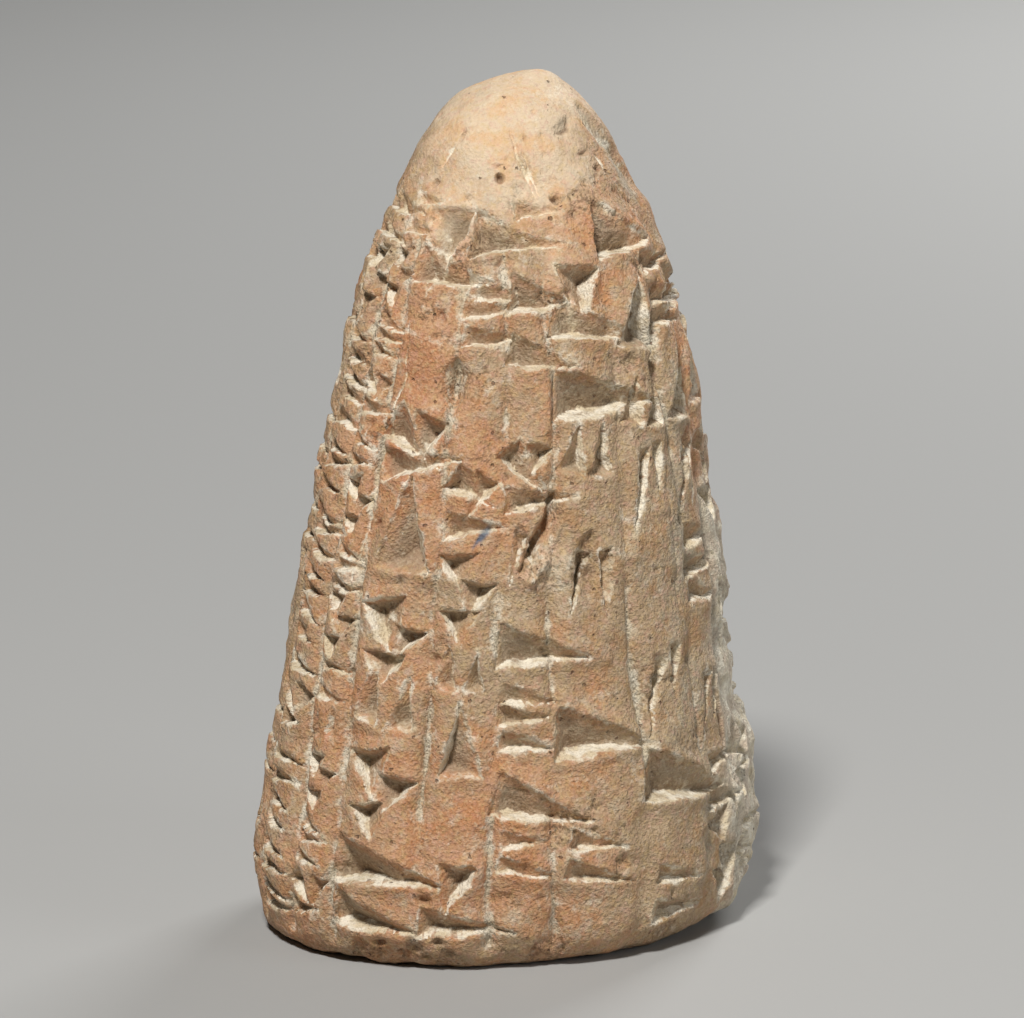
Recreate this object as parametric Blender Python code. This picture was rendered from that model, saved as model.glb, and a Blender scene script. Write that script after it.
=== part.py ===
"""A hand-shaped cone of fired clay that stands upright on its broad flat base.

Its side is ruled into upright lines. Each line holds groups of wedge-shaped strokes, pressed with the
corner of a reed while the clay was wet. The strokes are generic and write nothing.
"""
import math
import random
from collections import namedtuple

import bmesh
import bpy
import numpy as np
from mathutils import Vector

MM = 0.001

# Driving dimensions, in metres
HEIGHT = 62.0 * MM
WIDTH = 35.2 * MM
DEPTH = 33.0 * MM
INSCRIPTION_FOOT = 2.4 * MM
INSCRIPTION_TOP = 54.5 * MM
REED_WIDTH = 4.0 * MM     # the head of the widest stroke; all the strokes keep to its scale

# The side from the resting face to the tip: height, half width and sideways shift of the middle,
# as shares of the height, the half width and the half width
SIDE = (
    (0.000, 0.805, -0.075),
    (0.008, 0.912, -0.042),
    (0.034, 0.980, -0.002),
    (0.090, 1.004, 0.008),
    (0.163, 0.982, 0.020),
    (0.290, 0.912, 0.022),
    (0.489, 0.818, 0.038),
    (0.660, 0.710, 0.050),
    (0.802, 0.584, 0.060),
    (0.873, 0.458, 0.056),
    (0.929, 0.366, 0.060),
    (0.971, 0.259, 0.068),
    (0.992, 0.136, 0.094),
    (1.000, 0.000, 0.135),
)
CURVE_STEPS = 16
SQUARENESS = 2.3          # 2 is a true ellipse; more is a rounder-cornered square
SKEW = 0.070              # how far the plan leans to its front left and back right corners

# The worn hollow that runs up beside the right-hand ridge, and the swelling behind it
RIDGE_HOLLOW = {"angle": 68.0, "spread": 7.0, "height": 0.17, "reach": 0.13, "rise": -0.60 * MM}
BACK_SWELLING = {"angle": 104.0, "spread": 20.0, "height": 0.12, "reach": 0.12, "rise": 0.40 * MM}

# Mesh of the clay before it is marked
ROUND_SEGMENTS = 46
SIDE_RINGS = 34

# How a reed's corner digs in: its deepest point leans to the lower side and to the head
DEEPEST_SHARES = {"upper": 0.17, "lower": 0.62, "tail": 0.21}
CUTTER_LIFT = 2.3
LONGEST_SHARE = 1.7       # a stroke across a line runs at most this share of the line's width
WIDE_LINE = 20.0          # in degrees; in a narrower line the hand presses smaller
SEED = 20
LENGTH_VARIES = 0.20
TURN_VARIES = 8.0
PLACE_VARIES = 0.35

# A stroke as the 4 mm reed makes it: its head's middle, across as a share of the line's width and up
# in mm, its length, head width and depth in mm, and the way its tail points, 0 to the right and 90 up
Stroke = namedtuple("Stroke", "across up length head depth turn")

# Groups of strokes: the height that a group fills in mm, and its strokes
GROUPS = {
    "plain": (4.2, ()),
    "broad": (5.2, (Stroke(-0.46, 2.3, 8.6, 4.0, 2.00, -13),)),
    "stacked": (8.2, (
        Stroke(-0.46, 5.8, 8.0, 3.7, 1.90, -13),
        Stroke(-0.42, 1.9, 6.0, 3.0, 1.50, -16),
    )),
    "steps": (5.6, (
        Stroke(-0.40, 4.5, 5.6, 2.0, 1.05, -10),
        Stroke(-0.46, 2.8, 6.0, 2.0, 1.10, -8),
        Stroke(-0.38, 1.2, 5.2, 2.0, 1.15, -11),
    )),
    "rungs": (4.4, (
        Stroke(-0.36, 3.3, 5.2, 1.6, 0.85, -6),
        Stroke(-0.40, 1.2, 5.6, 1.8, 0.95, -8),
    )),
    "row": (4.6, (
        Stroke(-0.26, 1.0, 3.9, 2.0, 1.15, 80),
        Stroke(0.18, 0.9, 3.5, 1.9, 1.10, 87),
    )),
    "slim": (6.0, (
        Stroke(-0.10, 5.2, 5.4, 1.2, 0.85, -101),
        Stroke(0.16, 5.4, 4.2, 1.2, 0.80, -96),
    )),
    "blade": (7.2, (Stroke(0.02, 1.3, 7.0, 4.0, 1.85, 85),)),
    "corners": (6.6, (
        Stroke(-0.16, 6.0, 3.4, 3.6, 1.50, -78),
        Stroke(0.14, 4.1, 3.3, 3.7, 1.50, -99),
        Stroke(-0.08, 2.2, 3.1, 3.5, 1.45, -85),
    )),
    "fan": (6.2, (
        Stroke(-0.38, 5.3, 5.2, 3.0, 1.55, -42),
        Stroke(-0.44, 1.7, 6.0, 2.5, 1.35, 6),
        Stroke(0.28, 5.2, 4.4, 2.6, 1.35, -108),
    )),
    "crossing": (6.4, (
        Stroke(0.04, 5.6, 5.2, 3.4, 1.60, -94),
        Stroke(-0.46, 1.8, 7.4, 2.9, 1.55, -10),
    )),
}

# The upright lines round the cone: each one's left edge in degrees, 0 at the front and positive to
# the right, and its groups from the foot up
LINES = (
    (-70.0, "steps steps rungs fan rungs steps steps steps rungs steps corners rungs"),
    (-54.0, "fan steps corners row rungs corners steps corners rungs fan steps corners rungs"),
    (-42.0, "stacked corners row corners blade fan plain plain crossing"),
    (-21.0, "crossing plain blade row corners fan plain plain steps broad"),
    (-4.0, "plain rungs broad steps broad slim fan plain stacked rungs"),
    (12.5, "plain rungs plain broad plain slim plain row broad crossing plain"),
    (38.5, "rungs plain broad slim plain plain slim row blade broad"),
    (61.5, "corners rungs slim plain steps slim blade steps plain"),
    (80.0, "steps fan plain slim plain corners blade broad plain"),
    (98.0, "broad plain steps crossing plain blade fan plain"),
    (116.0, "blade steps plain corners broad plain slim broad"),
    (134.0, "rungs broad plain corners steps plain fan broad"),
    (152.0, "corners plain broad rungs blade plain slim rungs plain"),
    (170.0, "plain fan blade plain broad corners plain steps"),
    (188.0, "broad steps plain crossing slim plain blade broad"),
    (206.0, "rungs blade plain broad corners plain slim plain"),
    (224.0, "corners plain broad slim crossing plain blade rungs"),
    (242.0, "steps plain fan broad plain corners plain broad"),
    (259.0, "plain rungs row plain steps slim plain rungs row plain rungs"),
    (275.0, "rungs row steps plain slim rungs steps row rungs steps"),
)

WIDEST_HEAD = max(stroke.head for _, strokes in GROUPS.values() for stroke in strokes)
STROKE_UNIT = REED_WIDTH / WIDEST_HEAD

CLAY_COLOR = (0.434, 0.275, 0.153, 1.0)
CLAY_ROUGHNESS = 0.88


def remove_startup_objects():
    for thing in list(bpy.data.objects):
        bpy.data.objects.remove(thing, do_unlink=True)


def fired_clay():
    clay = bpy.data.materials.new("fired_clay")
    clay.use_nodes = True
    shader = clay.node_tree.nodes["Principled BSDF"]
    shader.inputs["Base Color"].default_value = CLAY_COLOR
    shader.inputs["Roughness"].default_value = CLAY_ROUGHNESS
    shader.inputs["Metallic"].default_value = 0.0
    return clay


def smooth_curve(stations, steps):
    """Points on a smooth curve through the stations, which leaves the first and last one level."""
    stations = np.array(stations)
    slopes = np.gradient(stations, axis=0)
    slopes[0, 0] = 0.0
    slopes[-1, 0] = 0.0
    t = np.linspace(0.0, 1.0, steps, endpoint=False)[:, None]
    pieces = []
    for start, end, leave, arrive in zip(stations, stations[1:], slopes, slopes[1:]):
        ease = 3 * t**2 - 2 * t**3
        pieces.append(
            start + (end - start) * ease
            + leave * (t**3 - 2 * t**2 + t) + arrive * (t**3 - t**2)
        )
    return np.vstack(pieces + [stations[-1:]])


CURVE = smooth_curve(SIDE, CURVE_STEPS)
CURVE_LENGTHS = np.concatenate(([0.0], np.cumsum(np.hypot(
    np.diff(CURVE[:, 0]) * HEIGHT, np.diff(CURVE[:, 1]) * WIDTH / 2))))
CURVE_SHARES = CURVE_LENGTHS / CURVE_LENGTHS[-1]


def plan_reach(angle, half):
    """How far the side stands from the middle, at an angle and a half-width share."""
    across = np.abs(np.sin(angle)) / (WIDTH / 2)
    along = np.abs(np.cos(angle)) / (DEPTH / 2)
    reach = (across**SQUARENESS + along**SQUARENESS) ** (-1 / SQUARENESS)
    return half * reach * (1 - SKEW * np.sin(2 * angle))


def swelling(angle, height, form):
    """A soft rise or hollow of the side, centred on an angle and a height share."""
    turn = np.degrees(np.angle(np.exp(1j * (angle - math.radians(form["angle"])))))
    climb = height - form["height"]
    return form["rise"] * np.exp(-(turn / form["spread"]) ** 2 - (climb / form["reach"]) ** 2)


def side_point(angle, climb):
    """Points of the side, at angles and at shares of its length from the resting face to the tip."""
    angle = np.asarray(angle, float)
    height, half, shift = (np.interp(climb, CURVE_SHARES, CURVE[:, i]) for i in range(3))
    reach = plan_reach(angle, half)
    fade = np.clip(height / 0.03, 0, 1)
    reach = reach + fade * swelling(angle, height, RIDGE_HOLLOW)
    reach = reach + fade * swelling(angle, height, BACK_SWELLING)
    return np.stack([
        shift * WIDTH / 2 + reach * np.sin(angle),
        -reach * np.cos(angle),
        height * HEIGHT + 0 * angle,
    ], axis=-1)


def middle_of_plan():
    """The middle of the side's box in plan, which goes on the upright axis."""
    angle, climb = np.meshgrid(np.linspace(0, 2 * math.pi, 181), np.linspace(0, 1, 121))
    points = side_point(angle, climb).reshape(-1, 3)
    middle = (points.min(axis=0) + points.max(axis=0)) / 2
    return np.array([middle[0], middle[1], 0.0])


MIDDLE = middle_of_plan()


def clay_point(angle, climb):
    return side_point(angle, climb) - MIDDLE


def shape_cone():
    """The unmarked cone: a ball whose rings are moved onto the side, its lowest pole onto the base."""
    bm = bmesh.new()
    bmesh.ops.create_uvsphere(bm, u_segments=ROUND_SEGMENTS, v_segments=SIDE_RINGS, radius=1.0)
    rings_on_side = SIDE_RINGS - 1
    for vert in bm.verts:
        ring = round((0.5 + math.asin(max(-1.0, min(1.0, vert.co.z))) / math.pi) * SIDE_RINGS)
        angle = math.atan2(vert.co.x, -vert.co.y)
        vert.co = Vector(clay_point(angle, max(ring - 1, 0) / rings_on_side))
        if ring == 0:
            vert.co = Vector(side_point(0.0, 0.0) * (0, 0, 1))
    bm.normal_update()
    bmesh.ops.recalc_face_normals(bm, faces=bm.faces)
    mesh = bpy.data.meshes.new("cone")
    bm.to_mesh(mesh)
    bm.free()
    cone = bpy.data.objects.new("cone", mesh)
    bpy.context.scene.collection.objects.link(cone)
    return cone


def climb_at(height):
    """The share of the side's length at which it reaches a height."""
    return float(np.interp(height / HEIGHT, CURVE[:, 0], CURVE_SHARES))


def stroke_triangle(stroke, angle, width, height):
    """The three corners of a stroke on the side, upper head, lower head and tail, and its pit."""
    turn = math.radians(stroke.turn)
    ahead = np.array([math.cos(turn), math.sin(turn)])
    beside = np.array([-math.sin(turn), math.cos(turn)])
    if beside[1] < 0:
        beside = -beside
    length = stroke.length * STROKE_UNIT
    if abs(ahead[0]) > abs(ahead[1]):
        length = min(length, LONGEST_SHARE * width)
    head = np.array([stroke.across * width, height])
    half_head = beside * stroke.head * STROKE_UNIT / 2
    flat = {"upper": head + half_head, "lower": head - half_head, "tail": head + ahead * length}

    def on_side(place):
        climb = climb_at(place[1])
        radius = plan_reach(angle, np.interp(climb, CURVE_SHARES, CURVE[:, 1]))
        return clay_point(angle + place[0] / radius, climb)

    corners = {name: on_side(place) for name, place in flat.items()}
    inwards = np.cross(corners["upper"] - corners["lower"], corners["tail"] - corners["lower"])
    inwards = inwards / np.linalg.norm(inwards)
    if np.dot(inwards, corners["lower"] * (1, 1, 0)) > 0:
        inwards = -inwards
    pit = sum(share * corners[name] for name, share in DEEPEST_SHARES.items())
    return corners, pit + inwards * stroke.depth * STROKE_UNIT


def varied(stroke, size, chance):
    """The same stroke as an unsteady hand would press it, at a share of its size."""
    return stroke._replace(
        length=size * stroke.length * (1 + chance.uniform(-LENGTH_VARIES, LENGTH_VARIES)),
        head=size * stroke.head,
        depth=size * stroke.depth,
        turn=stroke.turn + chance.uniform(-TURN_VARIES, TURN_VARIES),
        up=stroke.up + chance.uniform(-PLACE_VARIES, PLACE_VARIES),
    )


def inscription():
    """Every stroke on the cone, as its corners and its pit, line by line from the foot up."""
    chance = random.Random(SEED)
    edges = [line[0] for line in LINES] + [LINES[0][0] + 360.0]
    for (left, names), right in zip(LINES, edges[1:]):
        angle = math.radians((left + right) / 2)
        groups = [GROUPS[name] for name in names.split()]
        stretch = (INSCRIPTION_TOP - INSCRIPTION_FOOT) / sum(height for height, _ in groups)
        size = min(1.0, (right - left) / WIDE_LINE)
        foot = INSCRIPTION_FOOT
        for tall, strokes in groups:
            for stroke in strokes:
                stroke = varied(stroke, size, chance)
                height = foot + stroke.up * stretch
                half = np.interp(climb_at(height), CURVE_SHARES, CURVE[:, 1])
                width = plan_reach(angle, half) * math.radians(right - left)
                yield stroke_triangle(stroke, angle, width, height)
            foot += tall * stretch


def reed_corner(name, corners, pit, collection):
    """The corner of a reed as it stands in the clay: a three-sided point that reaches clear of it."""
    bm = bmesh.new()
    bmesh.ops.create_cone(bm, cap_ends=True, segments=3, radius1=1.0, radius2=0.0, depth=1.0)
    rim = iter(corners.values())
    for vert in sorted(bm.verts, key=lambda v: (v.co.z, v.co.x, v.co.y)):
        if vert.co.z > 0:
            vert.co = Vector(pit)
        else:
            vert.co = Vector(pit + (next(rim) - pit) * CUTTER_LIFT)
    bm.normal_update()
    bmesh.ops.recalc_face_normals(bm, faces=bm.faces)
    mesh = bpy.data.meshes.new(name)
    bm.to_mesh(mesh)
    bm.free()
    cutter = bpy.data.objects.new(name, mesh)
    cutter.hide_render = True
    cutter.display_type = "WIRE"
    collection.objects.link(cutter)


def press_strokes(cone):
    reeds = bpy.data.collections.new("reed_corners")
    bpy.context.scene.collection.children.link(reeds)
    for number, (corners, pit) in enumerate(inscription()):
        reed_corner(f"reed_{number:03d}", corners, pit, reeds)
    cut = cone.modifiers.new("pressed_strokes", "BOOLEAN")
    cut.operation = "DIFFERENCE"
    cut.solver = "EXACT"
    cut.operand_type = "COLLECTION"
    cut.collection = reeds


remove_startup_objects()
cone = shape_cone()
cone.data.materials.append(fired_clay())
press_strokes(cone)
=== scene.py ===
"""The looks of the clay cone: its worn surface, its pressed strokes, its crust and its colours."""
import math
import random
from collections import namedtuple

import bmesh
import bpy
import numpy as np
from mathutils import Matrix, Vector, kdtree

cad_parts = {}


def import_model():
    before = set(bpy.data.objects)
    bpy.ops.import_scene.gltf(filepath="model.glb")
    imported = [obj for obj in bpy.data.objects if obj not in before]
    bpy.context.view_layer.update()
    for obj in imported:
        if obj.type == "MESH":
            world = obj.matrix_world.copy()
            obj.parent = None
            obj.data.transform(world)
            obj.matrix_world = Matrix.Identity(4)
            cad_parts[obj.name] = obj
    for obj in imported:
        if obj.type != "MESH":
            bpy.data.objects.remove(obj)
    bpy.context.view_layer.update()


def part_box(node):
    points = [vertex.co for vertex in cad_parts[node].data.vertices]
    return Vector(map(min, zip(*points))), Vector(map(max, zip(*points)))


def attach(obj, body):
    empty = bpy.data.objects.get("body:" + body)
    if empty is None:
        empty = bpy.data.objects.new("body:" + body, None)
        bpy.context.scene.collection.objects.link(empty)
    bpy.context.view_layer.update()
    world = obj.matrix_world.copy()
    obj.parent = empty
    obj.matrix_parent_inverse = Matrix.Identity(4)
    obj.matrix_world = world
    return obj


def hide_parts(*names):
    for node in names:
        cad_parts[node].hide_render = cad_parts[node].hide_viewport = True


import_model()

# One millimetre of the design, from the frame's own height
cone_low, cone_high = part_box("cone")
HEIGHT_MM = 62.0
MM = (cone_high.z - cone_low.z) / HEIGHT_MM

# The plan at its widest, before its skew
WIDTH_MM = 35.2
DEPTH_MM = 33.0

# The photograph: its frame, the object's scale in it, and the view
PHOTO_WIDTH_PX = 1024
PHOTO_HEIGHT_PX = 1018
PX_PER_MM = 13.823
AXIS_PX = (507.3, 495.9)       # where the middle of the cone's axis shows
CAMERA_RISE = math.radians(13.0)
CAMERA_DISTANCE = 0.50
SENSOR_WIDTH = 36.0

# The side from the resting face to the tip: height, half width and sideways shift of the middle,
# as shares of the height, the half width and the half width
SIDE = (
    (0.000, 0.805, -0.075),
    (0.008, 0.912, -0.042),
    (0.034, 0.980, -0.002),
    (0.090, 1.004, 0.008),
    (0.163, 0.982, 0.020),
    (0.290, 0.912, 0.022),
    (0.489, 0.818, 0.038),
    (0.660, 0.710, 0.050),
    (0.802, 0.584, 0.060),
    (0.873, 0.458, 0.056),
    (0.929, 0.366, 0.060),
    (0.971, 0.259, 0.068),
    (0.992, 0.136, 0.094),
    (1.000, 0.000, 0.135),
)
CURVE_STEPS = 16
SQUARENESS = 2.3
SKEW = 0.070

# A soft rise or hollow of the side: its middle in degrees and mm up, how far it spreads that way
# and up, and its rise in mm
Swelling = namedtuple("Swelling", "angle height turn_spread climb_spread rise")
RIDGE_HOLLOW = Swelling(68.0, 10.54, 7.0, 8.06, -0.60)
BACK_SWELLING = Swelling(104.0, 7.44, 20.0, 7.44, 0.40)

# The inscription, as in the solid
INSCRIPTION_FOOT = 2.4
INSCRIPTION_TOP = 54.5
DEEPEST_SHARES = {"upper": 0.17, "lower": 0.62, "tail": 0.21}
LONGEST_SHARE = 1.7
WIDE_LINE = 20.0
SEED = 20
LENGTH_VARIES = 0.20
TURN_VARIES = 8.0
PLACE_VARIES = 0.35
Stroke = namedtuple("Stroke", "across up length head depth turn")
GROUPS = {
    "plain": (4.2, ()),
    "broad": (5.2, (Stroke(-0.46, 2.3, 8.6, 4.0, 2.00, -13),)),
    "stacked": (8.2, (
        Stroke(-0.46, 5.8, 8.0, 3.7, 1.90, -13),
        Stroke(-0.42, 1.9, 6.0, 3.0, 1.50, -16),
    )),
    "steps": (5.6, (
        Stroke(-0.40, 4.5, 5.6, 2.0, 1.05, -10),
        Stroke(-0.46, 2.8, 6.0, 2.0, 1.10, -8),
        Stroke(-0.38, 1.2, 5.2, 2.0, 1.15, -11),
    )),
    "rungs": (4.4, (
        Stroke(-0.36, 3.3, 5.2, 1.6, 0.85, -6),
        Stroke(-0.40, 1.2, 5.6, 1.8, 0.95, -8),
    )),
    "row": (4.6, (
        Stroke(-0.26, 1.0, 3.9, 2.0, 1.15, 80),
        Stroke(0.18, 0.9, 3.5, 1.9, 1.10, 87),
    )),
    "slim": (6.0, (
        Stroke(-0.10, 5.2, 5.4, 1.2, 0.85, -101),
        Stroke(0.16, 5.4, 4.2, 1.2, 0.80, -96),
    )),
    "blade": (7.2, (Stroke(0.02, 1.3, 7.0, 4.0, 1.85, 85),)),
    "corners": (6.6, (
        Stroke(-0.16, 6.0, 3.4, 3.6, 1.50, -78),
        Stroke(0.14, 4.1, 3.3, 3.7, 1.50, -99),
        Stroke(-0.08, 2.2, 3.1, 3.5, 1.45, -85),
    )),
    "fan": (6.2, (
        Stroke(-0.38, 5.3, 5.2, 3.0, 1.55, -42),
        Stroke(-0.44, 1.7, 6.0, 2.5, 1.35, 6),
        Stroke(0.28, 5.2, 4.4, 2.6, 1.35, -108),
    )),
    "crossing": (6.4, (
        Stroke(0.04, 5.6, 5.2, 3.4, 1.60, -94),
        Stroke(-0.46, 1.8, 7.4, 2.9, 1.55, -10),
    )),
}
LINES = (
    (-70.0, "steps steps rungs fan rungs steps steps steps rungs steps corners rungs"),
    (-54.0, "fan steps corners row rungs corners steps corners rungs fan steps corners rungs"),
    (-42.0, "stacked corners row corners blade fan plain plain crossing"),
    (-21.0, "crossing plain blade row corners fan plain plain steps broad"),
    (-4.0, "plain rungs broad steps broad slim fan plain stacked rungs"),
    (12.5, "plain rungs plain broad plain slim plain row broad crossing plain"),
    (38.5, "rungs plain broad slim plain plain slim row blade broad"),
    (61.5, "corners rungs slim plain steps slim blade steps plain"),
    (80.0, "steps fan plain slim plain corners blade broad plain"),
    (98.0, "broad plain steps crossing plain blade fan plain"),
    (116.0, "blade steps plain corners broad plain slim broad"),
    (134.0, "rungs broad plain corners steps plain fan broad"),
    (152.0, "corners plain broad rungs blade plain slim rungs plain"),
    (170.0, "plain fan blade plain broad corners plain steps"),
    (188.0, "broad steps plain crossing slim plain blade broad"),
    (206.0, "rungs blade plain broad corners plain slim plain"),
    (224.0, "corners plain broad slim crossing plain blade rungs"),
    (242.0, "steps plain fan broad plain corners plain broad"),
    (259.0, "plain rungs row plain steps slim plain rungs row plain rungs"),
    (275.0, "rungs row steps plain slim rungs steps row rungs steps"),
)

# The fine mesh: its points round the cone, up its side and across its base, and the number of
# triangles that it is thinned to
ROUND_SEGMENTS = 1000
SIDE_RINGS = 560
BASE_RINGS = 60
MOST_TRIANGLES = 194000

# How the reed leaves the clay, in mm
RIM_ROUNDING = 0.045
CREASE_FILLING = 0.05
FLOOR_HOLLOW = 0.16
LIP_RISE = 0.13
LIP_DISTANCE = 0.18
LIP_SPREAD = 0.62
LIP_REACH = 1.6
EDGE_WANDER = 0.24
EDGE_WANDER_SIZE = 1.3
EDGE_TREMOR = 0.055
EDGE_TREMOR_SIZE = 0.35
EDGE_REACH = 0.4
RIM_HALF_WIDTH = 0.16
REED_FIBRE_DEPTH = 0.035
REED_FIBRE_WIDTH = 0.28
REED_FIBRE_LENGTH = 3.0

# The ruled lines between the lines of strokes, in mm
RULE_DEPTH = 0.40
RULE_HALF_WIDTH = 0.31
RULE_WANDER = 0.62
VALLEY_DEPTH = 0.26
VALLEY_HALF_WIDTH = 0.85


def smooth_curve(stations, steps):
    """Points on a smooth curve through the stations, which leaves the first and last one level."""
    stations = np.array(stations)
    slopes = np.gradient(stations, axis=0)
    slopes[0, 0] = 0.0
    slopes[-1, 0] = 0.0
    t = np.linspace(0.0, 1.0, steps, endpoint=False)[:, None]
    pieces = []
    for start, end, leave, arrive in zip(stations, stations[1:], slopes, slopes[1:]):
        ease = 3 * t**2 - 2 * t**3
        pieces.append(
            start + (end - start) * ease
            + leave * (t**3 - 2 * t**2 + t) + arrive * (t**3 - t**2)
        )
    return np.vstack(pieces + [stations[-1:]])


CURVE = smooth_curve(SIDE, CURVE_STEPS)
CURVE_LENGTHS = np.concatenate(([0.0], np.cumsum(np.hypot(
    np.diff(CURVE[:, 0]) * HEIGHT_MM, np.diff(CURVE[:, 1]) * WIDTH_MM / 2))))
CURVE_SHARES = CURVE_LENGTHS / CURVE_LENGTHS[-1]


def plan_reach(angle, half):
    """How far the side stands from the middle in mm, at an angle and a half-width share."""
    across = np.abs(np.sin(angle)) / (WIDTH_MM / 2)
    along = np.abs(np.cos(angle)) / (DEPTH_MM / 2)
    reach = (across**SQUARENESS + along**SQUARENESS) ** (-1 / SQUARENESS)
    return half * reach * (1 - SKEW * np.sin(2 * angle))


def turned(angle, middle_degrees):
    """The signed turn in radians from a middle in degrees to each angle."""
    return np.angle(np.exp(1j * (angle - math.radians(middle_degrees))))


def swell(angle, height, form):
    """How far a swelling lifts the side in mm, or a hollow sinks it."""
    turn = np.degrees(turned(angle, form.angle)) / form.turn_spread
    climb = (height - form.height) / form.climb_spread
    return form.rise * np.exp(-turn**2 - climb**2)


def side_point(angle, climb):
    """Points of the unmarked side in mm, at angles and at shares of its length from foot to tip."""
    height, half, shift = (np.interp(climb, CURVE_SHARES, CURVE[:, i]) for i in range(3))
    height_mm = height * HEIGHT_MM
    fade = np.clip(height / 0.03, 0, 1)
    reach = plan_reach(angle, half)
    for form in (RIDGE_HOLLOW, BACK_SWELLING):
        reach = reach + fade * swell(angle, height_mm, form)
    return np.stack([
        shift * WIDTH_MM / 2 + reach * np.sin(angle),
        -reach * np.cos(angle),
        height_mm + 0 * angle,
    ], axis=-1)


def middle_of_plan():
    """The middle of the box round the unmarked side, in mm, where the solid's origin lies."""
    angle, climb = np.meshgrid(np.linspace(0, 2 * math.pi, 181), np.linspace(0, 1, 121))
    points = side_point(angle, climb).reshape(-1, 3)
    middle = (points.min(axis=0) + points.max(axis=0)) / 2
    return np.array([middle[0], middle[1], 0.0])


MIDDLE = middle_of_plan()


def lattice(ix, iy, iz, seed):
    """A fixed random number from -1 to 1 for each whole place."""
    mixed = (
        ix.astype(np.uint32) * np.uint32(73856093)
        ^ iy.astype(np.uint32) * np.uint32(19349663)
        ^ iz.astype(np.uint32) * np.uint32(83492791)
        ^ np.uint32(seed * 40503 + 977)
    )
    mixed = (mixed ^ (mixed >> np.uint32(15))) * np.uint32(2246822519)
    mixed = (mixed ^ (mixed >> np.uint32(13))) * np.uint32(3266489917)
    mixed = mixed ^ (mixed >> np.uint32(16))
    return mixed.astype(np.float64) / 2147483648.0 - 1.0


def noise(points, size, seed):
    """Smooth noise from -1 to 1 at points in mm, with features of a size in mm."""
    scaled = points / size
    cell = np.floor(scaled).astype(np.int64)
    part = scaled - cell
    part = part * part * part * (part * (part * 6 - 15) + 10)
    total = np.zeros(len(points))
    for dx in (0, 1):
        for dy in (0, 1):
            for dz in (0, 1):
                weight = (
                    (part[:, 0] if dx else 1 - part[:, 0])
                    * (part[:, 1] if dy else 1 - part[:, 1])
                    * (part[:, 2] if dz else 1 - part[:, 2])
                )
                total += weight * lattice(cell[:, 0] + dx, cell[:, 1] + dy, cell[:, 2] + dz, seed)
    return total


def layered_noise(points, size, seed, layers=3):
    total = np.zeros(len(points))
    for layer in range(layers):
        total += noise(points, size / 2**layer, seed + 31 * layer) / 2**layer
    return total / (2 - 2 ** (1 - layers))


def smoothstep(low, high, value):
    t = np.clip((value - low) / (high - low), 0, 1)
    return t * t * (3 - 2 * t)


def hump(value, middle, spread):
    return np.exp(-(((value - middle) / spread) ** 2))


# What is noted at each point while the clay is worked, and what the kiln does to its colour
RELIEF_RECORDS = ("rise", "lip", "pit")
# Some marks also place painted light: highlight on stroke rims and ledges, shade in holes, creases
# and under the pebble
MARK_RECORDS = ("rim", "wall", "crust", "grit", "stain", "fleck", "rough", "broken", "bleached")
FIRED_RECORDS = ("warm", "cream", "grey")


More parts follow.
